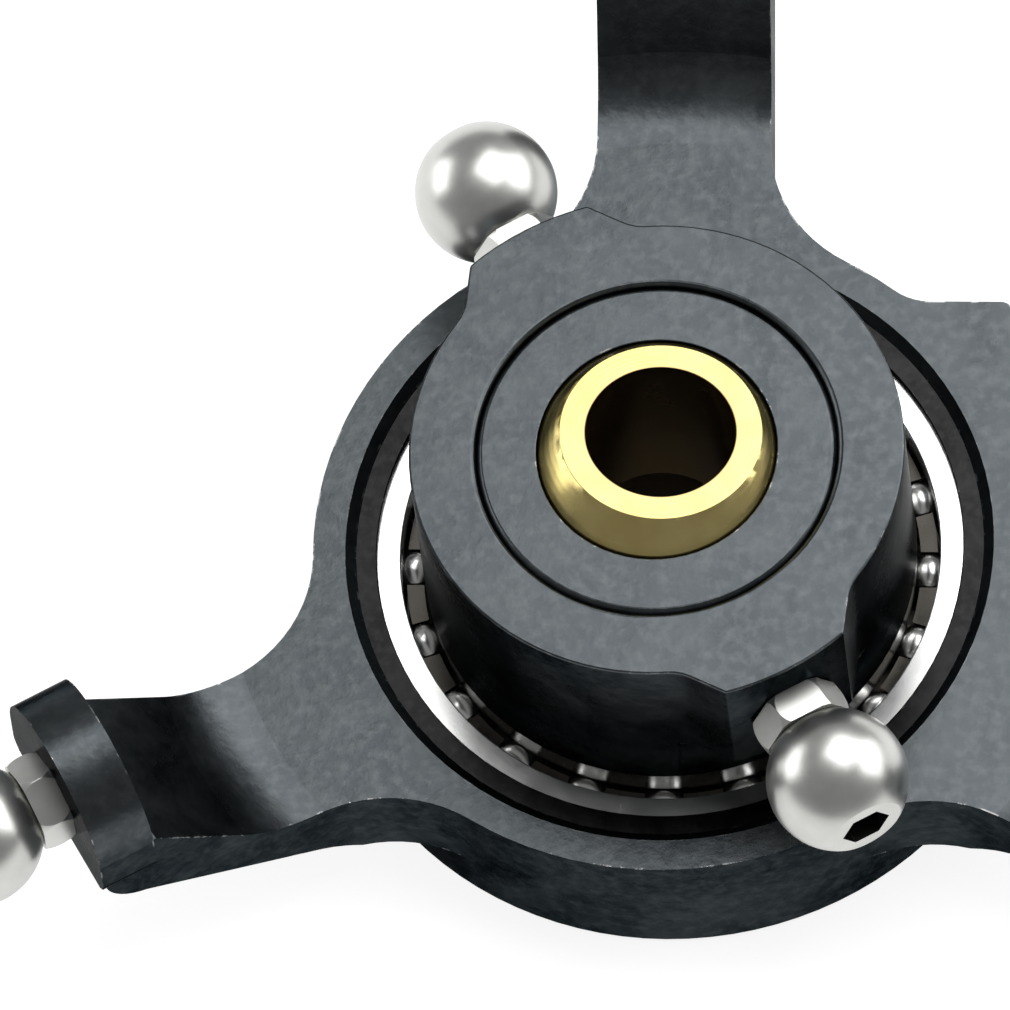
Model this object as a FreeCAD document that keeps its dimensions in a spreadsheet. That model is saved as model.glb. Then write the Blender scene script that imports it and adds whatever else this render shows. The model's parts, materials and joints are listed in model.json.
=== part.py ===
import FreeCAD, Part
import math
import os
import Sketcher
from FreeCAD import Placement, Rotation, Vector

# Helicopter swashplate, in millimetres. The origin is the centre of the uniball, +Z points up the mast,
# one arm of the outer plate points to +Y, and the five link balls all lie in the plane z = 0.

SIZES = {
    # uniball, its slip liner and its two seats
    "mast_bore": 5.0,
    "mast_bore_chamfer": 0.2,
    "uniball_diameter": 9.5,
    "uniball_length": 6.74,
    "uniball_tilt_x": -6.0,
    "uniball_tilt_y": 2.7,
    "swivel_clearance": 0.03,
    "liner_thickness": 0.24,
    "liner_half_angle": 17.0,
    "lip_clearance": 0.08,
    "seat_wall": 0.95,
    "seat_split": 0.1,
    "seat_recess": 0.06,
    "seat_lip_height": 0.215,
    "seat_edge_chamfer": 0.18,
    "lower_seat_depth": 3.4,
    # hub
    "hub_top": 2.8,
    "hub_wall": 2.2,
    "drum_edge_chamfer": 0.12,
    "neck_shoulder": 1.2,
    "neck_wall": 1.7,
    "neck_below_race": 0.8,
    "hub_boss_reach": 1.05,
    "hub_boss_width": 4.4,
    "hub_boss_depth": 5.4,
    "hub_boss_flare": 35.0,
    "hub_boss_fillet": 1.5,
    "hub_boss_turn": 30.0,
    "hub_boss_count": 2,
    # bearing and its snap rings
    "race_width": 3.5,
    "race_section": 3.2,
    "inner_land_step": 0.45,
    "outer_land_step": 0.36,
    "race_chamfer": 0.12,
    "bearing_ball_diameter": 1.588,
    "bearing_ball_clearance": 0.03,
    "bearing_ball_count": 20,
    "cage_land_clearance": 0.12,
    "cage_pocket_clearance": 0.06,
    "cage_below_ball": 1.15,
    "cage_above_ball": 0.55,
    "snap_ring_clearance": 0.02,
    "snap_ring_gap": 24.0,
    "snap_ring_turn": 100.0,
    "plate_ring_thickness": 0.3,
    "plate_ring_overlap": 0.46,
    "plate_ring_seat_depth": 0.6,
    "neck_ring_thickness": 0.4,
    "neck_ring_overlap": 0.6,
    "neck_ring_seat_depth": 0.4,
    # outer plate
    "plate_top": -4.7,
    "race_drop": 0.6,
    "floor_thickness": 1.6,
    "floor_ledge": 0.7,
    "mouth_clearance": 0.23,
    "mouth_flare": 0.35,
    "ring_wall": 1.05,
    "ring_edge_chamfer": 0.2,
    "arm_count": 3,
    "arm_width": 5.8,
    "arm_root_thickness": 3.45,
    "arm_underside_reach": 1.95,
    "arm_underside_slope": 30.0,
    "arm_heel_setback": 1.4,
    "arm_heel_radius": 2.0,
    "arm_slope_run": 3.07,
    "arm_bend_radius": 4.0,
    "arm_slope": 45.0,
    "arm_fillet": 5.0,
    "arm_boss_thickness": 2.0,
    "arm_boss_radius": 3.2,
    "arm_boss_depth": 2.05,
    "arm_boss_corner": 0.6,
    "lug_turn": 30.0,
    "lug_length": 2.2,
    "lug_width": 4.6,
    "lug_flare": 30.0,
    "lug_corner": 0.5,
    "lug_fillet": 2.0,
    # link balls and anti-rotation pin
    "arm_ball_radius": 25.8,
    "link_ball_diameter": 4.75,
    "link_ball_flat": 1.99,
    "stud_reach": 3.1,
    "stud_hex_across": 2.8,
    "stud_hex_length": 1.1,
    "stud_neck_diameter": 2.4,
    "stud_thread_length": 1.8,
    "thread_diameter": 2.0,
    "thread_clearance": 0.02,
    "socket_across": 1.5,
    "socket_depth": 1.2,
    "pin_diameter": 2.0,
    "pin_length": 9.0,
    "pin_hex_across": 2.8,
    "pin_hex_length": 1.2,
    "pin_thread_length": 2.2,
    "pin_tip_chamfer": 0.3,
}

doc = FreeCAD.newDocument("swashplate")
dim = doc.addObject("Spreadsheet::Sheet", "dim")
for row, (alias, size) in enumerate(SIZES.items(), start=1):
    dim.set(f"A{row}", alias)
    dim.set(f"B{row}", str(size))
    dim.setAlias(f"B{row}", alias)
doc.recompute()

# Places that several pieces share, each worked out from the sheet's cells.
RACE_TOP = "(dim.plate_top - dim.race_drop)"
RACE_FLOOR = f"({RACE_TOP} - dim.race_width)"
RACE_MIDDLE = f"({RACE_TOP} - dim.race_width / 2)"
PLATE_BOTTOM = f"({RACE_FLOOR} - dim.floor_thickness)"
ARM_BOSS_FACE = "(dim.arm_ball_radius - dim.stud_reach)"
LUG_MIDDLE = "(dim.plate_top - dim.arm_root_thickness / 2)"
TAPPED_RADIUS = "(dim.thread_diameter / 2 + dim.thread_clearance)"
LINER_INSIDE = "(dim.uniball_diameter / 2 + dim.swivel_clearance)"
LINER_OUTSIDE = f"({LINER_INSIDE} + dim.liner_thickness)"
RECESS_RADIUS = f"({LINER_OUTSIDE} + dim.swivel_clearance)"
LIP_RADIUS = "(dim.uniball_diameter / 2 + dim.lip_clearance)"
SEAT_RADIUS = f"({RECESS_RADIUS} + dim.seat_wall)"
DRUM_RADIUS = f"({SEAT_RADIUS} + dim.hub_wall)"
HUB_BOSS_FACE = f"({DRUM_RADIUS} + dim.hub_boss_reach)"
RACE_INSIDE = f"({DRUM_RADIUS} - dim.neck_shoulder)"
RACE_OUTSIDE = f"({RACE_INSIDE} + dim.race_section)"
PITCH_RADIUS = f"({RACE_INSIDE} + dim.race_section / 2)"
INNER_LAND = f"({PITCH_RADIUS} - dim.inner_land_step)"
OUTER_LAND = f"({PITCH_RADIUS} + dim.outer_land_step)"
PLATE_SEAT = f"({RACE_OUTSIDE} + dim.plate_ring_seat_depth)"
RING_RADIUS = f"({PLATE_SEAT} + dim.ring_wall)"
LUG_END = f"({RING_RADIUS} + dim.lug_length)"

FIRST_DIRECTION = 90.0  # the first arm, bearing ball and hub boss point to +Y
TOLERANCE = 0.01
X_AXIS = Vector(1, 0, 0)
Y_AXIS = Vector(0, 1, 0)
Z_AXIS = Vector(0, 0, 1)

pieces = []


def number(text):
    """The value of an expression in the sheet's names."""
    result = dim.evalExpression(text)
    return float(getattr(result, "Value", result))


def bind(item, **texts):
    """Binds each named property of an object to an expression."""
    for name, text in texts.items():
        item.setExpression(name.replace("__", "."), text)


def keep(item, label):
    """Marks a finished piece, whose label names its file."""
    item.Label = label
    pieces.append(item)
    return item


# Sketches and part-design features


def new_body(name):
    return doc.addObject("PartDesign::Body", name + "_body")


def sketch_on(body, role, name, offset=("0", "0", "0"), turn_axis=Z_AXIS, turn="0"):
    """A sketch on one of the body's own planes, moved and turned in that plane's axes."""
    plane = next(item for item in body.Origin.OriginFeatures if item.Role == role)
    sketch = body.newObject("Sketcher::SketchObject", name)
    sketch.AttachmentSupport = [(plane, "")]
    sketch.MapMode = "FlatFace"
    base = Vector(*[number(text) for text in offset])
    sketch.AttachmentOffset = Placement(base, Rotation(turn_axis, number(turn)))
    for axis, text in zip("xyz", offset):
        sketch.setExpression(f"AttachmentOffset.Base.{axis}", text)
    return sketch


def arc_between(start, end, side, radius):
    """The shorter arc from start to end, bending to the left or right of the way it goes."""
    chord = end - start
    left = Vector(-chord.y, chord.x, 0).normalize()
    rise = math.sqrt(max(radius**2 - (chord.Length / 2) ** 2, 0.0))
    centre = (start + end) / 2 + left * (rise if side == "left" else -rise)
    first, last = (start, end) if side == "left" else (end, start)
    angles = [math.atan2(point.y - centre.y, point.x - centre.x) for point in (first, last)]
    if angles[1] < angles[0]:
        angles[1] += 2 * math.pi
    return Part.ArcOfCircle(Part.Circle(centre, Z_AXIS, radius), angles[0], angles[1])


def draw_outline(sketch, corners):
    """A closed outline through corners (x, y), or (x, y, side, radius) where an arc goes on from there."""
    points = [Vector(number(corner[0]), number(corner[1]), 0) for corner in corners]
    starts = []
    for index, corner in enumerate(corners):
        start, end = points[index], points[(index + 1) % len(points)]
        if len(corner) == 2:
            sketch.addGeometry(Part.LineSegment(start, end), False)
            starts.append(1)
        else:
            sketch.addGeometry(arc_between(start, end, corner[2], number(corner[3])), False)
            starts.append(1 if corner[2] == "left" else 2)
    for index, corner in enumerate(corners):
        following = (index + 1) % len(corners)
        sketch.addConstraint(
            Sketcher.Constraint("Coincident", index, 3 - starts[index], following, starts[following])
        )
        for kind, text in (("DistanceX", corner[0]), ("DistanceY", corner[1])):
            place = sketch.addConstraint(Sketcher.Constraint(kind, index, starts[index], number(text)))
            sketch.setExpression(f"Constraints[{place}]", text)
        if len(corner) > 2:
            place = sketch.addConstraint(Sketcher.Constraint("Radius", index, number(corner[3])))
            sketch.setExpression(f"Constraints[{place}]", corner[3])
    return sketch


def draw_circle(sketch, x, y, radius):
    """A circle whose centre and radius are bound to expressions."""
    centre = Vector(number(x), number(y), 0)
    sketch.addGeometry(Part.Circle(centre, Z_AXIS, number(radius)), False)
    for kind, text in (("DistanceX", x), ("DistanceY", y)):
        place = sketch.addConstraint(Sketcher.Constraint(kind, 0, 3, number(text)))
        sketch.setExpression(f"Constraints[{place}]", text)
    place = sketch.addConstraint(Sketcher.Constraint("Radius", 0, number(radius)))
    sketch.setExpression(f"Constraints[{place}]", radius)
    return sketch


def turned(body, kind, name, corners, angle="360"):
    """A Revolution or Groove of an outline drawn as (radius, height) about the Z axis."""
    sketch = draw_outline(sketch_on(body, "XZ_Plane", name + "_outline"), corners)
    feature = body.newObject("PartDesign::" + kind, name)
    feature.Profile = sketch
    feature.ReferenceAxis = (sketch, ["V_Axis"])
    feature.Angle = number(angle)
    bind(feature, Angle=angle)
    return finish_feature(body, feature)


def extruded(body, kind, name, sketch, length, reverse=False):
    """A Pad or Pocket of a sketch."""
    feature = body.newObject("PartDesign::" + kind, name)
    feature.Profile = sketch
    feature.Length = number(length)
    feature.Reversed = reverse
    bind(feature, Length=length)
    return finish_feature(body, feature)


def repeated(body, name, feature, count):
    """A full-turn polar pattern of a feature about the Z axis."""
    axis = next(item for item in body.Origin.OriginFeatures if item.Role == "Z_Axis")
    pattern = body.newObject("PartDesign::PolarPattern", name)
    pattern.Originals = [feature]
    pattern.Axis = (axis, [""])
    pattern.Angle = 360
    pattern.Occurrences = int(number(count))
    bind(pattern, Occurrences=count)
    body.Tip = pattern
    doc.recompute()
    return pattern


def rounded(body, kind, name, size, test):
    """A Fillet or Chamfer of the edges of the body's tip that pass a test."""
    base = body.Tip
    names = [f"Edge{place}" for place, edge in enumerate(base.Shape.Edges, start=1) if test(edge)]
    if not names:
        raise ValueError(f"{name}: no edge to work on")
    feature = body.newObject("PartDesign::" + kind, name)
    feature.Base = (base, names)
    if kind == "Fillet":
        feature.Radius = number(size)
        bind(feature, Radius=size)
    else:
        feature.Size = number(size)
        bind(feature, Size=size)
    body.Tip = feature
    doc.recompute()
    return feature


def finish_feature(body, feature):
    """Makes a feature the tip, and checks that a cut really takes material away."""
    before = feature.BaseFeature.Shape.Volume if feature.BaseFeature else 0.0
    body.Tip = feature
    doc.recompute()
    cuts = feature.TypeId in ("PartDesign::Groove", "PartDesign::Pocket")
    if cuts and not feature.Shape.Volume < before - 1e-6:
        raise ValueError(f"{feature.Name} cuts nothing")
    return feature


def upright_at(edge, radius):
    """Whether an edge is a vertical line at this distance from the Z axis."""
    first, last = edge.Vertexes[0].Point, edge.Vertexes[-1].Point
    flat = math.hypot(first.x - last.x, first.y - last.y)
    return flat < TOLERANCE and abs(math.hypot(first.x, first.y) - radius) < TOLERANCE


# Primitives and booleans


def solid(kind, name, **texts):
    """A Part primitive whose sizes are bound to expressions."""
    item = doc.addObject("Part::" + kind, name)
    bind(item, **texts)
    return item


def joined(name, shapes):
    item = doc.addObject("Part::MultiFuse", name)
    item.Shapes = shapes
    return item


def cut(name, base, tool):
    item = doc.addObject("Part::Cut", name)
    item.Base = base
    item.Tool = tool
    return item


def raised(item, height):
    """Lifts a primitive to an expression's height."""
    item.setExpression("Placement.Base.z", height)
    return item


def stand_out(item, radius, angle, height="0"):
    """Turns a piece that was built along +Z to point outwards at an angle, starting at a radius."""
    turn = Rotation(Z_AXIS, angle) * Rotation(Y_AXIS, 90)
    item.Placement = Placement(Vector(), turn)
    bind(
        item,
        Placement__Base__x=f"{radius} * cos({angle})",
        Placement__Base__y=f"{radius} * sin({angle})",
        Placement__Base__z=height,
    )
    return item


# The outer plate: a turned ring with three arms and the lug for the anti-rotation pin


def make_outer_plate():
    body = new_body("outer_plate")
    blank_height = f"(0 - {PLATE_BOTTOM})"
    floor = ("0", "0", PLATE_BOTTOM)
    half_width = "dim.arm_width / 2"

    ring = sketch_on(body, "XY_Plane", "ring_outline", floor)
    draw_circle(ring, "0", "0", RING_RADIUS)
    extruded(body, "Pad", "ring", ring, blank_height)

    arm = sketch_on(body, "XY_Plane", "arm_outline", floor)
    draw_outline(
        arm,
        [
            (f"-{half_width}", "0"),
            (half_width, "0"),
            (half_width, ARM_BOSS_FACE),
            (f"-{half_width}", ARM_BOSS_FACE),
        ],
    )
    arm_pad = extruded(body, "Pad", "arm", arm, blank_height)
    repeated(body, "arms", arm_pad, "dim.arm_count")

    # The lug narrows outwards, and its root lies well inside the ring.
    root = RACE_INSIDE
    root_half_width = f"(dim.lug_width / 2 + ({LUG_END} - {root}) * tan(dim.lug_flare))"
    lug = sketch_on(body, "XY_Plane", "lug_outline", floor, Z_AXIS, "dim.lug_turn")
    draw_outline(
        lug,
        [
            (root, f"-{root_half_width}"),
            (LUG_END, "-dim.lug_width / 2"),
            (LUG_END, "dim.lug_width / 2"),
            (root, root_half_width),
        ],
    )
    extruded(body, "Pad", "lug", lug, blank_height)

    lug_corner = math.hypot(number(LUG_END), number("dim.lug_width / 2"))
    rounded(body, "Fillet", "lug_corners", "dim.lug_corner", lambda edge: upright_at(edge, lug_corner))
    ring_radius = number(RING_RADIUS)
    lug_turn = number("dim.lug_turn")

    def beside_lug(edge):
        point = edge.Vertexes[0].Point
        away = math.degrees(math.atan2(point.y, point.x)) - lug_turn
        return abs(away) < number("dim.lug_flare")

    def at_ring(edge):
        return upright_at(edge, ring_radius) and len(edge.Vertexes) == 2

    rounded(body, "Fillet", "lug_roots", "dim.lug_fillet", lambda edge: at_ring(edge) and beside_lug(edge))

    def at_arm(edge):
        return at_ring(edge) and beside_arm(edge.Vertexes[0].Point)

    rounded(body, "Fillet", "arm_roots", "dim.arm_fillet", at_arm)

    # The lathe takes away the space above the ring and arms, and under the arms.
    boss_inside = f"({ARM_BOSS_FACE} - dim.arm_boss_thickness)"
    bend_end = f"({boss_inside} - dim.arm_slope_run)"
    bend_start = f"({bend_end} - dim.arm_bend_radius * sin(dim.arm_slope))"
    bend_rise = "dim.arm_bend_radius * (1 - cos(dim.arm_slope))"
    slope_top = f"(dim.plate_top + {bend_rise} + dim.arm_slope_run * tan(dim.arm_slope))"
    beyond = f"({ARM_BOSS_FACE} + dim.arm_boss_thickness)"
    above = "dim.hub_top"
    turned(
        body,
        "Groove",
        "space_above",
        [
            ("0", "dim.plate_top"),
            (bend_start, "dim.plate_top", "left", "dim.arm_bend_radius"),
            (bend_end, f"dim.plate_top + {bend_rise}"),
            (boss_inside, slope_top),
            (beyond, slope_top),
            (beyond, above),
            ("0", above),
        ],
    )
    arm_floor = "(dim.plate_top - dim.arm_root_thickness)"
    heel = f"({ARM_BOSS_FACE} - dim.arm_heel_setback)"
    underside_start = f"({RING_RADIUS} + dim.arm_underside_reach)"
    heel_height = f"({arm_floor} + ({heel} - {underside_start}) * tan(dim.arm_underside_slope))"
    below = f"({PLATE_BOTTOM} - dim.floor_thickness)"
    turned(
        body,
        "Groove",
        "space_below",
        [
            (RING_RADIUS, below),
            (beyond, below),
            (beyond, "-dim.arm_boss_depth"),
            (ARM_BOSS_FACE, "-dim.arm_boss_depth", "right", "dim.arm_heel_radius"),
            (heel, heel_height),
            (underside_start, arm_floor),
            (RING_RADIUS, arm_floor),
        ],
    )

    # One stepped bore takes the outer race and the snap ring above it.
    floor_bore = f"({RACE_OUTSIDE} - dim.floor_ledge)"
    mouth = f"({RACE_OUTSIDE} + dim.mouth_clearance)"
    ring_seat_top = f"({RACE_TOP} + dim.plate_ring_thickness + dim.snap_ring_clearance)"
    turned(
        body,
        "Groove",
        "bearing_bore",
        [
            ("0", below),
            (floor_bore, below),
            (floor_bore, RACE_FLOOR),
            (RACE_OUTSIDE, RACE_FLOOR),
            (RACE_OUTSIDE, RACE_TOP),
            (PLATE_SEAT, RACE_TOP),
            (PLATE_SEAT, ring_seat_top),
            (mouth, ring_seat_top),
            (f"({mouth} + dim.mouth_flare)", "dim.plate_top"),
            ("0", "dim.plate_top"),
        ],
    )

    make_arm_bosses(body, boss_inside)
    make_plate_holes(body)

    def bottom_rim(edge):
        curve = edge.Curve
        at_bottom = abs(edge.BoundBox.ZMax - number(PLATE_BOTTOM)) < TOLERANCE
        return at_bottom and isinstance(curve, Part.Circle) and abs(curve.Radius - ring_radius) < TOLERANCE

    rounded(body, "Chamfer", "bottom_rim", "dim.ring_edge_chamfer", bottom_rim)
    keep(body, "outer_plate")


def beside_arm(point):
    """Whether a point on the ring lies where the side of an arm meets it."""
    step = 360.0 / int(number("dim.arm_count"))
    away = (math.degrees(math.atan2(point.y, point.x)) - FIRST_DIRECTION + step / 2) % step - step / 2
    side = number(RING_RADIUS) * math.sin(math.radians(abs(away)))
    return abs(side - number("dim.arm_width / 2")) < TOLERANCE


def make_arm_bosses(body, boss_inside):
    """The upright end of each arm, round on top about its link ball's axis and flat below."""
    inner_width = "(dim.arm_boss_radius - dim.arm_boss_corner)"
    inner_depth = "(dim.arm_boss_depth - dim.arm_boss_corner)"
    corner = ("left", "dim.arm_boss_corner")
    round_top = ("left", "dim.arm_boss_radius")
    sketch = sketch_on(body, "XZ_Plane", "arm_boss_outline", ("0", "0", f"-{boss_inside}"))
    draw_outline(
        sketch,
        [
            (f"-{inner_width}", "-dim.arm_boss_depth"),
            (inner_width, "-dim.arm_boss_depth", *corner),
            ("dim.arm_boss_radius", f"-{inner_depth}"),
            ("dim.arm_boss_radius", "0", *round_top),
            ("0", "dim.arm_boss_radius", *round_top),
            ("-dim.arm_boss_radius", "0"),
            ("-dim.arm_boss_radius", f"-{inner_depth}", *corner),
        ],
    )
    boss = extruded(body, "Pad", "arm_boss", sketch, "dim.arm_boss_thickness", reverse=True)
    repeated(body, "arm_bosses", boss, "dim.arm_count")


def make_plate_holes(body):
    """Tapped holes for the arms' link balls and for the anti-rotation pin."""
    arm_hole = sketch_on(body, "XZ_Plane", "arm_hole_outline", ("0", "0", f"-{ARM_BOSS_FACE}"))
    draw_circle(arm_hole, "0", "0", TAPPED_RADIUS)
    hole = extruded(body, "Pocket", "arm_hole", arm_hole, "dim.stud_thread_length", reverse=True)
    repeated(body, "arm_holes", hole, "dim.arm_count")

    lug_hole = sketch_on(
        body,
        "XZ_Plane",
        "lug_hole_outline",
        (f"{LUG_END} * cos(dim.lug_turn)", LUG_MIDDLE, f"-{LUG_END} * sin(dim.lug_turn)"),
        Y_AXIS,
        "dim.lug_turn + 90",
    )
    draw_circle(lug_hole, "0", "0", TAPPED_RADIUS)
    extruded(body, "Pocket", "lug_hole", lug_hole, "dim.pin_thread_length")


# The hub: a drum that carries the uniball's seats, on a neck through the inner race


def make_hub():
    body = new_body("hub")
    neck_bore = f"({RACE_INSIDE} - dim.neck_wall)"
    neck_seat = f"({RACE_INSIDE} - dim.neck_ring_seat_depth)"
    neck_seat_floor = f"({RACE_FLOOR} - dim.neck_ring_thickness - dim.snap_ring_clearance)"
    neck_end = f"({RACE_FLOOR} - dim.neck_below_race)"
    edge = "dim.drum_edge_chamfer"
    turned(
        body,
        "Revolution",
        "drum",
        [
            (neck_bore, neck_end),
            (RACE_INSIDE, neck_end),
            (RACE_INSIDE, neck_seat_floor),
            (neck_seat, neck_seat_floor),
            (neck_seat, RACE_FLOOR),
            (RACE_INSIDE, RACE_FLOOR),
            (RACE_INSIDE, RACE_TOP),
            (DRUM_RADIUS, RACE_TOP),
            (DRUM_RADIUS, "dim.hub_top"),
            (f"({SEAT_RADIUS} + {edge})", "dim.hub_top"),
            (SEAT_RADIUS, f"(dim.hub_top - {edge})"),
            (SEAT_RADIUS, "-dim.lower_seat_depth"),
            (neck_bore, "-dim.lower_seat_depth"),
        ],
    )

    # Each boss has a round outer face and flares towards the drum.
    half = "dim.hub_boss_width / 2"
    face = f"sqrt({HUB_BOSS_FACE} ^ 2 - ({half}) ^ 2)"
    root = f"({SEAT_RADIUS} + dim.hub_wall / 2)"
    root_half = f"({half} + ({face} - {root}) * tan(dim.hub_boss_flare))"
    sketch = sketch_on(body, "XY_Plane", "hub_boss_outline", ("0", "0", "dim.hub_top - dim.hub_boss_depth"))
    draw_outline(
        sketch,
        [
            (f"-{root_half}", root),
            (root_half, root),
            (half, face, "left", HUB_BOSS_FACE),
            (f"-{half}", face),
        ],
    )
    boss = extruded(body, "Pad", "hub_boss", sketch, "dim.hub_boss_depth")
    repeated(body, "hub_bosses", boss, "dim.hub_boss_count")
    drum_radius = number(DRUM_RADIUS)
    boss_top = number("dim.hub_top")

    def at_boss_root(item):
        reaches_top = abs(item.BoundBox.ZMax - boss_top) < TOLERANCE
        beside_boss = abs(item.Vertexes[0].Point.y) > drum_radius / 2
        return upright_at(item, drum_radius) and reaches_top and beside_boss

    rounded(body, "Fillet", "hub_boss_roots", "dim.hub_boss_fillet", at_boss_root)

    hole = sketch_on(body, "XZ_Plane", "hub_hole_outline", ("0", "0", f"-{HUB_BOSS_FACE}"))
    draw_circle(hole, "0", "0", TAPPED_RADIUS)
    tapped = extruded(body, "Pocket", "hub_hole", hole, "dim.stud_thread_length", reverse=True)
    repeated(body, "hub_holes", tapped, "dim.hub_boss_count")
    body.Placement = Placement(Vector(), Rotation(Z_AXIS, number("dim.hub_boss_turn")))
    keep(body, "hub")


# The uniball, its liner and the seats in the hub


def make_seat(label, inward, end, edge_chamfer):
    """One seat ring, from the split at the ball's middle to its outer end at height end."""
    body = new_body(label)
    side = "left" if inward > 0 else "right"
    start = f"({inward} * dim.seat_split / 2)"
    recess_end = f"({end} - {inward} * dim.seat_lip_height)"
    corners = [
        (f"sqrt({RECESS_RADIUS} ^ 2 - {start} ^ 2)", start, side, RECESS_RADIUS),
        (f"sqrt({RECESS_RADIUS} ^ 2 - {recess_end} ^ 2)", recess_end),
        (f"sqrt({LIP_RADIUS} ^ 2 - {recess_end} ^ 2)", recess_end, side, LIP_RADIUS),
        (f"sqrt({LIP_RADIUS} ^ 2 - {end} ^ 2)", end),
        (f"({SEAT_RADIUS} - {edge_chamfer})", end),
        (SEAT_RADIUS, f"({end} - {inward} * {edge_chamfer})"),
        (SEAT_RADIUS, start),
    ]
    turned(body, "Revolution", label + "_ring", corners)
    keep(body, label)


def make_liner():
    outer = solid("Sphere", "liner_outside", Radius=LINER_OUTSIDE)
    bind(outer, Angle1="-dim.liner_half_angle", Angle2="dim.liner_half_angle")
    inner = solid("Sphere", "liner_inside", Radius=LINER_INSIDE)
    liner = cut("ball_liner", outer, inner)
    liner.Placement = Placement(Vector(), Rotation(X_AXIS, number("dim.uniball_tilt_x")))
    keep(liner, "ball_liner")


def make_uniball():
    half = "dim.uniball_length / 2"
    cap_angle = f"asin({half} / (dim.uniball_diameter / 2))"
    ball = solid("Sphere", "uniball_sphere", Radius="dim.uniball_diameter / 2")
    bind(ball, Angle1=f"-{cap_angle}", Angle2=cap_angle)
    bore = solid("Cylinder", "uniball_bore", Radius="dim.mast_bore / 2", Height="dim.uniball_length")
    raised(bore, f"-{half}")
    wide = "dim.mast_bore / 2 + dim.mast_bore_chamfer"
    chamfer = "dim.mast_bore_chamfer"
    top = solid("Cone", "uniball_top_chamfer", Radius1="dim.mast_bore / 2", Radius2=wide, Height=chamfer)
    raised(top, f"{half} - {chamfer}")
    narrow = "dim.mast_bore / 2"
    bottom = solid("Cone", "uniball_bottom_chamfer", Radius1=wide, Radius2=narrow, Height=chamfer)
    raised(bottom, f"-{half}")
    uniball = cut("uniball", ball, joined("uniball_bore_tool", [bore, top, bottom]))
    tilt = Rotation(X_AXIS, number("dim.uniball_tilt_x")) * Rotation(Y_AXIS, number("dim.uniball_tilt_y"))
    uniball.Placement = Placement(Vector(), tilt)
    keep(uniball, "uniball")


# The open ball bearing and its snap rings


def make_race(label, wall, land, chamfer_side):
    """A bearing race as an outline of wall and land radii, with the ball groove turned into the land."""
    body = new_body(label)
    edge = f"({chamfer_side} * dim.race_chamfer)"
    turned(
        body,
        "Revolution",
        label + "_ring",
        [
            (wall, f"({RACE_FLOOR} + dim.race_chamfer)"),
            (f"({wall} + {edge})", RACE_FLOOR),
            (land, RACE_FLOOR),
            (land, RACE_TOP),
            (f"({wall} + {edge})", RACE_TOP),
            (wall, f"({RACE_TOP} - dim.race_chamfer)"),
        ],
    )
    groove = sketch_on(body, "XZ_Plane", label + "_groove_outline")
    groove_radius = "(dim.bearing_ball_diameter / 2 + dim.bearing_ball_clearance)"
    draw_circle(groove, PITCH_RADIUS, RACE_MIDDLE, groove_radius)
    feature = body.newObject("PartDesign::Groove", label + "_groove")
    feature.Profile = groove
    feature.ReferenceAxis = (groove, ["V_Axis"])
    feature.Angle = 360
    finish_feature(body, feature)
    keep(body, label)


def make_snap_ring(label, inside, outside, floor, thickness):
    """An open ring of flat section, with its gap centred on an angle."""
    body = new_body(label)
    turned(
        body,
        "Revolution",
        label + "_ring",
        [
            (inside, floor),
            (outside, floor),
            (outside, f"({floor} + {thickness})"),
            (inside, f"({floor} + {thickness})"),
        ],
        angle="(360 - dim.snap_ring_gap)",
    )
    start = number("dim.snap_ring_turn + dim.snap_ring_gap / 2")
    body.Placement = Placement(Vector(), Rotation(Z_AXIS, start))
    keep(body, label)


def make_cage():
    """A crown cage: a ring with a round pocket for each ball, open at the top."""
    body = new_body("bearing_cage")
    inside = f"({INNER_LAND} + dim.cage_land_clearance)"
    outside = f"({OUTER_LAND} - dim.cage_land_clearance)"
    floor = f"({RACE_MIDDLE} - dim.cage_below_ball)"
    top = f"({RACE_MIDDLE} + dim.cage_above_ball)"
    turned(
        body,
        "Revolution",
        "cage_ring",
        [(inside, floor), (outside, floor), (outside, top), (inside, top)],
    )
    pocket = sketch_on(body, "XZ_Plane", "cage_pocket_outline")
    draw_circle(pocket, "0", RACE_MIDDLE, "(dim.bearing_ball_diameter / 2 + dim.cage_pocket_clearance)")
    hole = extruded(body, "Pocket", "cage_pocket", pocket, OUTER_LAND)
    repeated(body, "cage_pockets", hole, "dim.bearing_ball_count")
    keep(body, "bearing_cage")


def make_bearing_balls():
    count = int(number("dim.bearing_ball_count"))
    for index in range(count):
        angle = FIRST_DIRECTION + index * 360.0 / count
        label = f"bearing_ball_{index + 1:02d}"
        ball = solid("Sphere", label, Radius="dim.bearing_ball_diameter / 2")
        stand_out(ball, PITCH_RADIUS, angle, RACE_MIDDLE)
        keep(ball, label)


# The link balls and the anti-rotation pin


def hexagon(name, across, height):
    circumradius = f"{across} / 2 / cos(30)"
    item = solid("Prism", name, Circumradius=circumradius, Height=height)
    item.Polygon = 6
    return item


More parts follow.
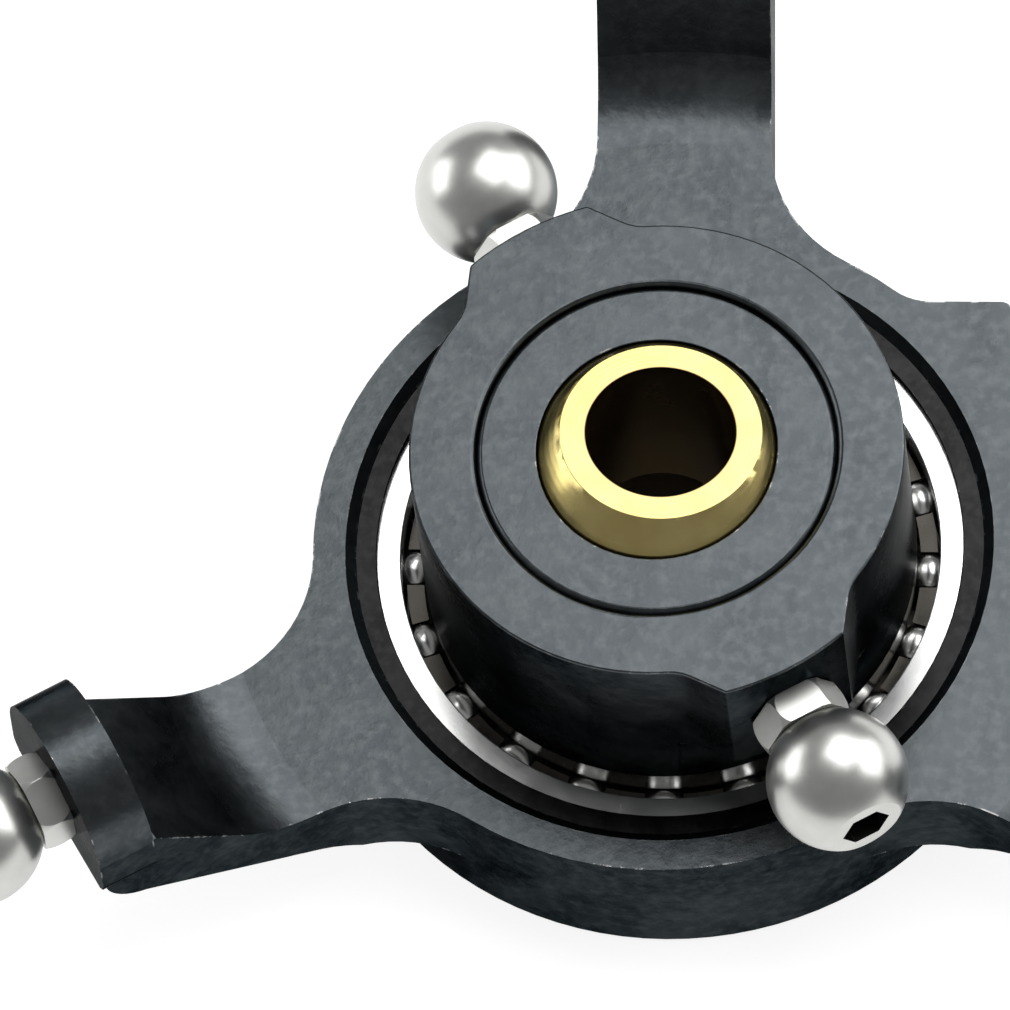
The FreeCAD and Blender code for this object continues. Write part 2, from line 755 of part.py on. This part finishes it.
def make_link_ball(label, face, angle):
    """A link ball on its hexagon, screwed into a boss whose face is at this radius."""
    ball = solid("Sphere", label + "_sphere", Radius="dim.link_ball_diameter / 2")
    bind(ball, Angle1="-90", Angle2="asin(dim.link_ball_flat / (dim.link_ball_diameter / 2))")
    raised(ball, "dim.stud_reach")
    base = hexagon(label + "_hexagon", "dim.stud_hex_across", "dim.stud_hex_length")
    neck = solid("Cylinder", label + "_neck", Radius="dim.stud_neck_diameter / 2", Height="dim.stud_reach")
    thread = solid(
        "Cylinder", label + "_thread", Radius="dim.thread_diameter / 2", Height="dim.stud_thread_length"
    )
    raised(thread, "-dim.stud_thread_length")
    socket = hexagon(label + "_socket", "dim.socket_across", "dim.socket_depth")
    raised(socket, "dim.stud_reach + dim.link_ball_flat - dim.socket_depth")
    stud = cut(label, joined(label + "_blank", [ball, base, neck, thread]), socket)
    keep(stand_out(stud, face, angle), label)


def make_anti_rotation_pin():
    """A steel pin screwed into the lug, with a hexagon against the lug's end."""
    base = hexagon("pin_hexagon", "dim.pin_hex_across", "dim.pin_hex_length")
    reach = "(dim.pin_hex_length + dim.pin_length)"
    tip = "dim.pin_tip_chamfer"
    shank = solid("Cylinder", "pin_shank", Radius="dim.pin_diameter / 2", Height=f"{reach} - {tip}")
    point = solid(
        "Cone",
        "pin_point",
        Radius1="dim.pin_diameter / 2",
        Radius2=f"dim.pin_diameter / 2 - {tip}",
        Height=tip,
    )
    raised(point, f"{reach} - {tip}")
    thread_radius = "dim.thread_diameter / 2"
    thread = solid("Cylinder", "pin_thread", Radius=thread_radius, Height="dim.pin_thread_length")
    raised(thread, "-dim.pin_thread_length")
    pin = joined("anti_rotation_pin", [base, shank, point, thread])
    keep(stand_out(pin, LUG_END, number("dim.lug_turn"), LUG_MIDDLE), "anti_rotation_pin")


make_outer_plate()
make_hub()
make_seat("upper_ball_seat", 1, "(dim.hub_top - dim.seat_recess)", "dim.seat_edge_chamfer")
make_seat("lower_ball_seat", -1, "(-dim.lower_seat_depth)", "dim.seat_edge_chamfer")
make_liner()
make_uniball()
make_race("bearing_outer_race", RACE_OUTSIDE, OUTER_LAND, -1)
make_race("bearing_inner_race", RACE_INSIDE, INNER_LAND, 1)
make_cage()
make_bearing_balls()
make_snap_ring(
    "outer_race_snap_ring",
    f"({RACE_OUTSIDE} - dim.plate_ring_overlap)",
    f"({PLATE_SEAT} - dim.snap_ring_clearance)",
    RACE_TOP,
    "dim.plate_ring_thickness",
)
make_snap_ring(
    "inner_race_snap_ring",
    f"({RACE_INSIDE} - dim.neck_ring_seat_depth + dim.snap_ring_clearance)",
    f"({RACE_INSIDE} + dim.neck_ring_overlap)",
    f"({RACE_FLOOR} - dim.neck_ring_thickness)",
    "dim.neck_ring_thickness",
)
arm_count = int(number("dim.arm_count"))
for index in range(arm_count):
    make_link_ball(f"arm_link_ball_{index + 1}", ARM_BOSS_FACE, FIRST_DIRECTION + index * 360.0 / arm_count)
hub_boss_count = int(number("dim.hub_boss_count"))
for index in range(hub_boss_count):
    hub_angle = FIRST_DIRECTION + number("dim.hub_boss_turn") + index * 360.0 / hub_boss_count
    make_link_ball(f"hub_link_ball_{index + 1}", HUB_BOSS_FACE, hub_angle)
make_anti_rotation_pin()

doc.recompute()
for item in doc.Objects:
    if "Invalid" in item.State or "Error" in item.State:
        raise ValueError(f"{item.Name} failed: {item.State}")
os.makedirs("parts", exist_ok=True)
for piece in pieces:
    if piece.Shape.isNull() or not piece.Shape.isValid():
        raise ValueError(f"{piece.Label} has no valid shape")
    piece.Shape.exportStep(f"parts/{piece.Label}.step")
    print(piece.Label, len(piece.Shape.Solids), round(piece.Shape.Volume, 3))
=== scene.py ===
import json
import math
import bpy
from mathutils import Matrix, Quaternion, Vector


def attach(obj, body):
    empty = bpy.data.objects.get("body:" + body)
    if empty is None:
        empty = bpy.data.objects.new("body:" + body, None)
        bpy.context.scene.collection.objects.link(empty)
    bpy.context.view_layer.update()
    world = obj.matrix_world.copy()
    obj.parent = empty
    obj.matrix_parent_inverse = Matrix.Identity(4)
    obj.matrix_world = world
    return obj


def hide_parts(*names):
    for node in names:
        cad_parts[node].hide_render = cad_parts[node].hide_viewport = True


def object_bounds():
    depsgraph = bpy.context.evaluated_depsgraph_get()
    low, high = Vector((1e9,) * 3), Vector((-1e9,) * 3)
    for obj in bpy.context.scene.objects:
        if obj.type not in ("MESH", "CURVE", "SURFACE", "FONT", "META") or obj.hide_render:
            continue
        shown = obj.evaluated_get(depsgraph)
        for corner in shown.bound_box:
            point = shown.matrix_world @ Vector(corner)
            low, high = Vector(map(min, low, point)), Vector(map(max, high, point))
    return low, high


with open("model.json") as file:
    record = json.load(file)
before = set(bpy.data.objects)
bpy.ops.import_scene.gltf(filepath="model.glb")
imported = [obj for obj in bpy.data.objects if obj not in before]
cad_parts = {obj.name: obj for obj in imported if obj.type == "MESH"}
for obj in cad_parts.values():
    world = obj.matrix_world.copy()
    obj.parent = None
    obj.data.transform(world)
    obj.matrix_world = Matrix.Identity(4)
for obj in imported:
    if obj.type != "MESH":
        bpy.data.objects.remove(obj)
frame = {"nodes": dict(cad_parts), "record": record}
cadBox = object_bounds()
nodes = frame["nodes"]
mm = 0.001


# node helpers

def newMaterial(name):
    material = bpy.data.materials.new(name)
    material.use_nodes = True
    tree = material.node_tree
    shader = tree.nodes["Principled BSDF"]
    return material, tree, shader


def objectPlace(tree, centre=(0, 0, 0), turn=(0, 0, 0), stretch=(1, 1, 1)):
    place = tree.nodes.new("ShaderNodeTexCoord")
    mapping = tree.nodes.new("ShaderNodeMapping")
    mapping.vector_type = "TEXTURE"
    mapping.inputs["Location"].default_value = centre
    mapping.inputs["Rotation"].default_value = turn
    mapping.inputs["Scale"].default_value = stretch
    tree.links.new(place.outputs["Object"], mapping.inputs["Vector"])
    return mapping.outputs["Vector"]


def noise(tree, place, grain, detail=3, roughness=0.55, distortion=0.0):
    texture = tree.nodes.new("ShaderNodeTexNoise")
    texture.inputs["Scale"].default_value = 1 / grain  # grain is the size of one patch
    texture.inputs["Detail"].default_value = detail
    texture.inputs["Roughness"].default_value = roughness
    texture.inputs["Distortion"].default_value = distortion
    tree.links.new(place, texture.inputs["Vector"])
    return texture.outputs["Fac"]


def spread(tree, value, low, high, newLow=0.0, newHigh=1.0):
    remap = tree.nodes.new("ShaderNodeMapRange")
    remap.inputs["From Min"].default_value = low
    remap.inputs["From Max"].default_value = high
    remap.inputs["To Min"].default_value = newLow
    remap.inputs["To Max"].default_value = newHigh
    tree.links.new(value, remap.inputs["Value"])
    return remap.outputs["Result"]


def blendColours(tree, factor, first, second):
    mix = tree.nodes.new("ShaderNodeMix")
    mix.data_type = "RGBA"
    tree.links.new(factor, mix.inputs["Factor"])
    for socket, colour in ((mix.inputs["A"], first), (mix.inputs["B"], second)):
        if isinstance(colour, tuple):
            socket.default_value = (*colour, 1)
        else:
            tree.links.new(colour, socket)
    return mix.outputs["Result"]


def calculate(tree, operation, first, second):
    node = tree.nodes.new("ShaderNodeMath")
    node.operation = operation
    for socket, value in zip(node.inputs, (first, second)):
        if isinstance(value, (int, float)):
            socket.default_value = value
        else:
            tree.links.new(value, socket)
    return node.outputs["Value"]


def bump(tree, shader, height, depth, strength=1.0):
    node = tree.nodes.new("ShaderNodeBump")
    node.inputs["Distance"].default_value = depth
    node.inputs["Strength"].default_value = strength
    tree.links.new(height, node.inputs["Height"])
    tree.links.new(node.outputs["Normal"], shader.inputs["Normal"])


def edgeMask(tree, radius, low, high):  # 1 along sharp outer edges
    rounded = tree.nodes.new("ShaderNodeBevel")
    rounded.samples = 6
    rounded.inputs["Radius"].default_value = radius
    geometry = tree.nodes.new("ShaderNodeNewGeometry")
    product = tree.nodes.new("ShaderNodeVectorMath")
    product.operation = "DOT_PRODUCT"
    tree.links.new(rounded.outputs["Normal"], product.inputs[0])
    tree.links.new(geometry.outputs["Normal"], product.inputs[1])
    return spread(tree, product.outputs["Value"], high, low)


# finishes

# where edges wore through
bareMetal = {"colour": (0.4, 0.4, 0.4), "edge": 0.13 * mm, "nick": 0.7 * mm}


def darkOxide(name, dye, grain, gloss, wear, depth):
    material, tree, shader = newMaterial(name)
    place = objectPlace(tree)
    clouds = noise(tree, place, grain["cloud"] * mm, detail=6, roughness=0.62, distortion=0.6)
    specks = noise(tree, place, grain["speck"] * mm, detail=3)
    colour = blendColours(tree, spread(tree, clouds, 0.36, 0.64), dye["dark"], dye["pale"])
    colour = blendColours(tree, spread(tree, specks, 0.45, 0.95), colour, dye["speck"])
    edges = edgeMask(tree, bareMetal["edge"], 0.82, 0.96)
    nicks = noise(tree, place, bareMetal["nick"], detail=6, roughness=0.7)
    bare = calculate(tree, "MULTIPLY", edges, spread(tree, nicks, 0.7 - wear, 0.74 - wear))
    colour = blendColours(tree, bare, colour, bareMetal["colour"])
    tree.links.new(colour, shader.inputs["Base Color"])
    shader.inputs["Metallic"].default_value = 1
    shader.inputs["Specular Tint"].default_value = (0.23, 0.23, 0.23, 1)
    tree.links.new(spread(tree, clouds, 0.3, 0.7, gloss[0], gloss[1]), shader.inputs["Roughness"])
    relief = calculate(tree, "ADD", specks, calculate(tree, "MULTIPLY", clouds, 2.0))
    bump(tree, shader, relief, depth * mm)
    return material


def blackAnodised():
    dye = {
        "dark": (0.047, 0.053, 0.057),
        "pale": (0.069, 0.077, 0.081),
        "speck": (0.092, 0.1, 0.104),
    }
    return darkOxide("blackAnodised", dye, {"cloud": 2.6, "speck": 0.42}, (0.25, 0.35), 0.15, 0.009)


def blackSpringSteel():
    dye = {
        "dark": (0.01, 0.01, 0.01),
        "pale": (0.017, 0.017, 0.017),
        "speck": (0.022, 0.022, 0.022),
    }
    return darkOxide("blackSpringSteel", dye, {"cloud": 1.4, "speck": 0.3}, (0.2, 0.28), 0.1, 0.002)


def brightSteel(name, dark, pale, gloss, grain, stretch=(1, 1, 1)):
    material, tree, shader = newMaterial(name)
    smears = noise(tree, objectPlace(tree), 1.6 * mm, detail=5)
    grinding = noise(tree, objectPlace(tree, stretch=stretch), grain * mm, detail=3)
    colour = blendColours(tree, spread(tree, smears, 0.3, 0.7), dark, pale)
    tree.links.new(colour, shader.inputs["Base Color"])
    shader.inputs["Metallic"].default_value = 1
    tree.links.new(spread(tree, smears, 0.3, 0.7, gloss[0], gloss[1]), shader.inputs["Roughness"])
    bump(tree, shader, grinding, 0.001 * mm)
    return material


def ballSteel():
    return brightSteel("ballSteel", (0.5, 0.5, 0.48), (0.6, 0.6, 0.58), (0.29, 0.36), 0.08)


def bearingSteel():
    dark, pale = (0.66, 0.66, 0.65), (0.76, 0.76, 0.75)
    return brightSteel("bearingSteel", dark, pale, (0.2, 0.28), 0.3, stretch=(1, 1, 0.1))


def cageSteel():
    dark, pale = (0.03, 0.028, 0.024), (0.06, 0.056, 0.05)
    return brightSteel("cageSteel", dark, pale, (0.22, 0.34), 0.4)


def groundSteel():
    dark, pale = (0.42, 0.41, 0.39), (0.52, 0.51, 0.49)
    return brightSteel("groundSteel", dark, pale, (0.16, 0.24), 0.1)


# painted shade for the key sockets: a dark steel colour on their walls and floor
def paintedSocketShade():
    dark, pale = (0.03, 0.029, 0.026), (0.07, 0.067, 0.06)
    return brightSteel("paintedSocketShade", dark, pale, (0.35, 0.45), 0.1)


def turnedBrass(turn, bore):
    material, tree, shader = newMaterial("turnedBrass")
    place = objectPlace(tree, turn=turn)
    tarnish = noise(tree, place, 1.6 * mm, detail=5)
    rings = tree.nodes.new("ShaderNodeTexWave")
    rings.wave_type = "RINGS"
    rings.rings_direction = "Z"
    rings.inputs["Scale"].default_value = 1 / (0.5 * mm)
    rings.inputs["Distortion"].default_value = 1.0
    tree.links.new(place, rings.inputs["Vector"])
    # the third colour is painted shade for the bore's walls
    dull, clean, boreShade = (0.5, 0.4, 0.15), (0.58, 0.48, 0.2), (0.3, 0.21, 0.1)
    colour = blendColours(tree, spread(tree, tarnish, 0.35, 0.65), dull, clean)
    split = tree.nodes.new("ShaderNodeSeparateXYZ")
    tree.links.new(place, split.inputs["Vector"])
    across = calculate(tree, "MULTIPLY", split.outputs["X"], split.outputs["X"])
    along = calculate(tree, "MULTIPLY", split.outputs["Y"], split.outputs["Y"])
    radius = calculate(tree, "SQRT", calculate(tree, "ADD", across, along), 0.0)
    boreShadeMask = spread(tree, radius, bore + 0.06 * mm, bore + 0.01 * mm)  # painted shade: the bore's walls are coloured darker brown
    colour = blendColours(tree, boreShadeMask, colour, boreShade)
    tree.links.new(colour, shader.inputs["Base Color"])
    shader.inputs["Metallic"].default_value = 1
    tree.links.new(spread(tree, tarnish, 0.3, 0.7, 0.2, 0.28), shader.inputs["Roughness"])
    bump(tree, shader, rings.outputs["Fac"], 0.002 * mm, 0.5)
    return material


def slipLiner():
    material, tree, shader = newMaterial("slipLiner")
    place = objectPlace(tree)
    weave = noise(tree, place, 0.15 * mm, detail=2)
    dark, pale = (0.7, 0.68, 0.62), (0.85, 0.83, 0.78)
    colour = blendColours(tree, spread(tree, weave, 0.3, 0.7), dark, pale)
    tree.links.new(colour, shader.inputs["Base Color"])
    shader.inputs["Roughness"].default_value = 0.55
    bump(tree, shader, weave, 0.004 * mm)
    return material


mounts = {mount["name"]: mount for mount in frame["record"]["mounts"]}
mastAxis = Vector(mounts["mast_bore"]["axis"])
mastTurn = Vector((0, 0, 1)).rotation_difference(mastAxis)
boreRadius = mounts["mast_bore"]["dims"]["r_mm"] * mm

finishes = {
    "black_anodised": blackAnodised(),
    "ball_steel": ballSteel(),
    "bearing_steel": bearingSteel(),
    "cage_steel": cageSteel(),
    "black_spring_steel": blackSpringSteel(),
    "ground_steel": groundSteel(),
    "brass": turnedBrass(mastTurn.to_euler(), boreRadius),
    "slip_liner": slipLiner(),
}
slotOf = {row["node"]: row["material_slot"] for row in frame["record"]["subparts"]}
for name, node in nodes.items():
    node.data.materials.clear()
    node.data.materials.append(finishes[slotOf[name]])
print("finishes on", len(nodes), "nodes")


# modelling helpers

def nothingSelected():
    if bpy.context.object and bpy.context.object.mode == "EDIT":
        bpy.ops.object.mode_set(mode="OBJECT")
    bpy.ops.object.select_all(action="DESELECT")


def takeUp(item):
    nothingSelected()
    item.select_set(True)
    bpy.context.view_layer.objects.active = item


def added(name):
    item = bpy.context.object
    item.name = name
    item.data.name = name
    return item


def rod(name, radius, start, end, sides=64):
    nothingSelected()
    middle = (0, 0, (start + end) / 2)
    bpy.ops.mesh.primitive_cylinder_add(
        vertices=sides, radius=radius, depth=end - start, location=middle
    )
    bpy.ops.object.transform_apply()
    return added(name)


def bar(name, across, start, end):  # a hexagonal bar, measured across its flats
    return rod(name, across / 2 / math.cos(math.pi / 6), start, end, 6)


def fullBall(name, radius, centre=0.0):
    nothingSelected()
    bpy.ops.mesh.primitive_uv_sphere_add(
        segments=96, ring_count=64, radius=radius, location=(0, 0, centre)
    )
    bpy.ops.object.transform_apply()
    return added(name)


def cutBall(name, radius, low, high):
    ball = fullBall(name, radius)
    bpy.ops.object.mode_set(mode="EDIT")
    for height, upper in ((high, True), (low, False)):
        bpy.ops.mesh.select_all(action="SELECT")
        bpy.ops.mesh.bisect(
            plane_co=(0, 0, height),
            plane_no=(0, 0, 1),
            use_fill=True,
            clear_outer=upper,
            clear_inner=not upper,
            threshold=1e-7,
        )
    bpy.ops.object.mode_set(mode="OBJECT")
    return ball


def combine(piece, tool, operation):
    takeUp(piece)
    modifier = piece.modifiers.new(operation.lower(), "BOOLEAN")
    modifier.operation = operation
    modifier.solver = "EXACT"
    modifier.object = tool
    bpy.ops.object.modifier_apply(modifier=modifier.name)
    bpy.data.objects.remove(tool)


# corners sharper than angle degrees are rounded, and faces meeting below smoothBelow look smooth
def softenEdges(piece, width, angle, segments=2, smoothBelow=28, heldBack=True):
    takeUp(piece)
    modifier = piece.modifiers.new("softEdges", "BEVEL")
    modifier.width = width
    modifier.segments = segments
    modifier.limit_method = "ANGLE"
    modifier.angle_limit = math.radians(angle)
    modifier.use_clamp_overlap = heldBack
    bpy.ops.object.modifier_apply(modifier=modifier.name)
    bpy.ops.object.shade_smooth_by_angle(angle=math.radians(smoothBelow))
    modifier = piece.modifiers.new("flatFaces", "WEIGHTED_NORMAL")
    modifier.weight = 100  # the largest faces count most
    modifier.keep_sharp = True
    bpy.ops.object.modifier_apply(modifier=modifier.name)


def copyOf(item, name):
    piece = item.copy()
    piece.data = item.data.copy()
    piece.name = name
    piece.data.name = name
    bpy.context.collection.objects.link(piece)
    return piece


def putAlong(piece, place, axis):  # built along +Z about the origin
    takeUp(piece)
    turn = Vector((0, 0, 1)).rotation_difference(Vector(axis))
    piece.matrix_world = Matrix.Translation(Vector(place)) @ turn.to_matrix().to_4x4()
    bpy.ops.object.transform_apply()


def dress(piece, node, body, slotName, second=None):
    marks = [face.material_index for face in piece.data.polygons]
    piece.data.materials.clear()
    piece.data.materials.append(finishes[slotName])
    if second:
        piece.data.materials.append(second)
        piece.data.polygons.foreach_set("material_index", marks)
    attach(piece, body)
    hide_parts(node)


bodyOf = {}
for bodyName, nodeNames in frame["record"]["behaviour"]["bodies"].items():
    for nodeName in nodeNames:
        bodyOf[nodeName] = bodyName


# link balls, each with its hexagon, neck and thread, and a key socket in its outer flat

linkBall = {
    "radius": 2.372 * mm,
    "flat": 1.99 * mm,
    "reach": 3.1 * mm,
    "hexAcross": 2.8 * mm,
    "hexLength": 1.1 * mm,
    "neckRadius": 1.2 * mm,
    "threadRadius": 1.0 * mm,
    "threadLength": 1.8 * mm,
    "socketAcross": 1.5 * mm,
    "socketDepth": 1.2 * mm,
    "shadeSpill": 1.12,  # painted shade reaches this far out, as a share of the socket's size
    "turnedCorner": 0.575,  # ball that rounds the hexagon, as a share of its size
    "joinOverlap": 0.1 * mm,
    "edge": 0.05 * mm,
    "edgeAngle": 34,
}


def makeLinkBall():
    reach, flat, overlap = linkBall["reach"], linkBall["flat"], linkBall["joinOverlap"]
    piece = cutBall("linkBall", linkBall["radius"], -flat, flat)
    hexagon = bar("hexagon", linkBall["hexAcross"], -reach, linkBall["hexLength"] - reach)
    corner = linkBall["hexAcross"] * linkBall["turnedCorner"]
    corners = fullBall("turnedCorners", corner, linkBall["hexLength"] / 2 - reach)
    combine(hexagon, corners, "INTERSECT")
    neck = rod("neck", linkBall["neckRadius"], -reach + overlap, -flat + 2 * overlap)
    combine(piece, neck, "UNION")
    combine(piece, hexagon, "UNION")
    threadEnd = -reach - linkBall["threadLength"]
    thread = rod("thread", linkBall["threadRadius"], threadEnd, -reach + 2 * overlap)
    combine(piece, thread, "UNION")
    socketFloor = flat - linkBall["socketDepth"]
    socket = bar("socket", linkBall["socketAcross"], socketFloor, flat + 1 * mm)
    combine(piece, socket, "DIFFERENCE")
    softenEdges(piece, linkBall["edge"], linkBall["edgeAngle"])
    shadeRadius = linkBall["socketAcross"] / 2 * linkBall["shadeSpill"]
    shadeLow, shadeHigh = socketFloor - linkBall["edge"], flat - 2 * linkBall["edge"]
    for face in piece.data.polygons:  # painted shade: the socket's walls and floor get the dark finish
        place = face.center
        inside = math.hypot(place.x, place.y) < shadeRadius
        face.material_index = int(inside and shadeLow < place.z < shadeHigh)
    return piece


shadeForSockets = paintedSocketShade()
firstBall = makeLinkBall()
ballMounts = [(f"arm_ball_{count}", f"arm_link_ball_{count}") for count in (1, 2, 3)]
ballMounts += [(f"hub_ball_{count}", f"hub_link_ball_{count}") for count in (1, 2)]
for mountName, nodeName in ballMounts:
    piece = copyOf(firstBall, "turned_" + nodeName)
    putAlong(piece, mounts[mountName]["pos_m"], mounts[mountName]["axis"])
    dress(piece, nodeName, bodyOf[nodeName], "ball_steel", shadeForSockets)
bpy.data.objects.remove(firstBall)
print("link balls made")


# uniball

uniball = {
    "radius": 4.75 * mm,
    "halfLength": 3.37 * mm,
    "edge": 0.14 * mm,
    "edgeAngle": 34,
}


def makeUniball():
    half = uniball["halfLength"]
    piece = cutBall("turned_uniball", uniball["radius"], -half, half)
    combine(piece, rod("bore", boreRadius, -2 * half, 2 * half, 96), "DIFFERENCE")
    softenEdges(piece, uniball["edge"], uniball["edgeAngle"], segments=3)
    putAlong(piece, (0, 0, 0), mastAxis)
    dress(piece, "uniball", bodyOf["uniball"], "brass")


makeUniball()
print("uniball made")


# machined pieces keep their solids' shape, with the sharp corners taken off

machined = {
    "weld": 0.001 * mm,
    "flatAngle": 0.2,  # degrees, as are the next two
    "edgeAngle": 24,
    "smoothBelow": 14,  # keeps the walls' shading from running over most bevels
}
softened = {  # how much comes off each piece's corners
    "hub": 0.07 * mm,
    "upper_ball_seat": 0.05 * mm,
    "bearing_outer_race": 0.05 * mm,
    "bearing_inner_race": 0.05 * mm,
    "outer_race_snap_ring": 0.04 * mm,
    "anti_rotation_pin": 0.05 * mm,
}


def makeMachined(nodeName, width):
    piece = copyOf(nodes[nodeName], "machined_" + nodeName)
    piece.parent = None
    piece.matrix_world = Matrix.Identity(4)
    takeUp(piece)
    bpy.ops.object.mode_set(mode="EDIT")
    bpy.ops.mesh.select_all(action="SELECT")
    bpy.ops.mesh.remove_doubles(threshold=machined["weld"])
    bpy.ops.mesh.dissolve_limited(angle_limit=math.radians(machined["flatAngle"]))
    bpy.ops.object.mode_set(mode="OBJECT")
    softenEdges(
        piece,
        width,
        machined["edgeAngle"],
        smoothBelow=machined["smoothBelow"],
        heldBack=False,
    )
    dress(piece, nodeName, bodyOf[nodeName], slotOf[nodeName])


for nodeName, width in softened.items():
    makeMachined(nodeName, width)
print("corners softened on", len(softened), "pieces")


# studio

studio = {
    "floorSize": 6.0,
    "floorColour": (0.45, 0.45, 0.45),
    "floorGap": 0.02 * mm,  # keeps the floor's face off the plate's own
    "floorGlow": 0.82,
    "glowStart": 10 * mm,  # no glow underneath the part, so its shadow stays there
    "glowSoftness": 1 * mm,
    "worldColour": (0.3, 0.3, 0.3),
    "lamps": [  # name, azimuth, elevation, distance, width, height, radiance
        ("backSoftbox", 60, 66, 0.17, 0.14, 0.15, 3.1),
        ("leftSoftbox", 165, 17, 0.8, 0.6, 0.4, 2.8),
        ("rightSoftbox", 22, 33, 0.8, 0.75, 0.55, 2.8),
    ],
}
camera = {
    "azimuth": -80.65,
    "elevation": 64.45,
    "roll": -8.16,
    "distance": 1.32,
    "lens": 1423.0,
    "aim": (-5.15 * mm, -0.78 * mm, 0.03 * mm),
    "sensorWidth": 36,
    "nearest": 0.05,
    "farthest": 20,
}


def direction(azimuth, elevation):
    turn, rise = math.radians(azimuth), math.radians(elevation)
    level = math.cos(rise)
    return Vector((level * math.cos(turn), level * math.sin(turn), math.sin(rise)))


def makeFloor():
    bpy.ops.object.select_all(action="DESELECT")
    level = cadBox[0][2] - studio["floorGap"]
    bpy.ops.mesh.primitive_plane_add(size=studio["floorSize"], location=(0, 0, level))
    floor = bpy.context.object
    floor.name = "floor"
    bpy.ops.object.transform_apply()
    material, tree, shader = newMaterial("paleFloor")
    shader.inputs["Base Color"].default_value = (*studio["floorColour"], 1)
    shader.inputs["Roughness"].default_value = 0.9
    shader.inputs["Specular IOR Level"].default_value = 0.1
    rays = tree.nodes.new("ShaderNodeLightPath")
    seen = calculate(tree, "MAXIMUM", rays.outputs["Is Camera Ray"], rays.outputs["Is Glossy Ray"])
    seen = calculate(tree, "MAXIMUM", seen, rays.outputs["Is Transmission Ray"])
    shader.inputs["Emission Color"].default_value = (1, 1, 1, 1)
    length = tree.nodes.new("ShaderNodeVectorMath")
    length.operation = "LENGTH"
    tree.links.new(objectPlace(tree, (0, 0, level)), length.inputs[0])
    start, soft = studio["glowStart"], studio["glowSoftness"]
    outside = spread(tree, length.outputs["Value"], start - soft, start + soft)
    seen = calculate(tree, "MULTIPLY", seen, outside)
    glow = calculate(tree, "MULTIPLY", seen, studio["floorGlow"])
    tree.links.new(glow, shader.inputs["Emission Strength"])
    floor.data.materials.append(material)


def makeLamps():
    for name, azimuth, elevation, distance, width, height, radiance in studio["lamps"]:
        away = direction(azimuth, elevation)
        data = bpy.data.lights.new(name, "AREA")
        data.shape = "RECTANGLE"
        data.size = width
        data.size_y = height
        data.energy = radiance * math.pi * width * height
        lamp = bpy.data.objects.new(name, data)
        lamp.location = away * distance
        lamp.rotation_euler = away.to_track_quat("Z", "Y").to_euler()
        lamp.visible_camera = False
        bpy.context.collection.objects.link(lamp)


def makeWorld():
    world = bpy.data.worlds.new("studioWorld")
    world.use_nodes = True
    world.node_tree.nodes["Background"].inputs["Color"].default_value = (*studio["worldColour"], 1)
    bpy.context.scene.world = world


def makeCamera():
    away = direction(camera["azimuth"], camera["elevation"])
    data = bpy.data.cameras.new("camera")
    data.sensor_width = camera["sensorWidth"]
    data.lens = camera["lens"]
    data.clip_start = camera["nearest"]
    data.clip_end = camera["farthest"]
    item = bpy.data.objects.new("camera", data)
    item.location = Vector(camera["aim"]) + away * camera["distance"]
    roll = Quaternion((0, 0, 1), math.radians(camera["roll"]))
    item.rotation_euler = (away.to_track_quat("Z", "Y") @ roll).to_euler()
    bpy.context.collection.objects.link(item)
    bpy.context.scene.camera = item


makeFloor()
makeLamps()
makeWorld()
makeCamera()
bpy.context.scene.view_settings.view_transform = "Standard"
print("studio ready")
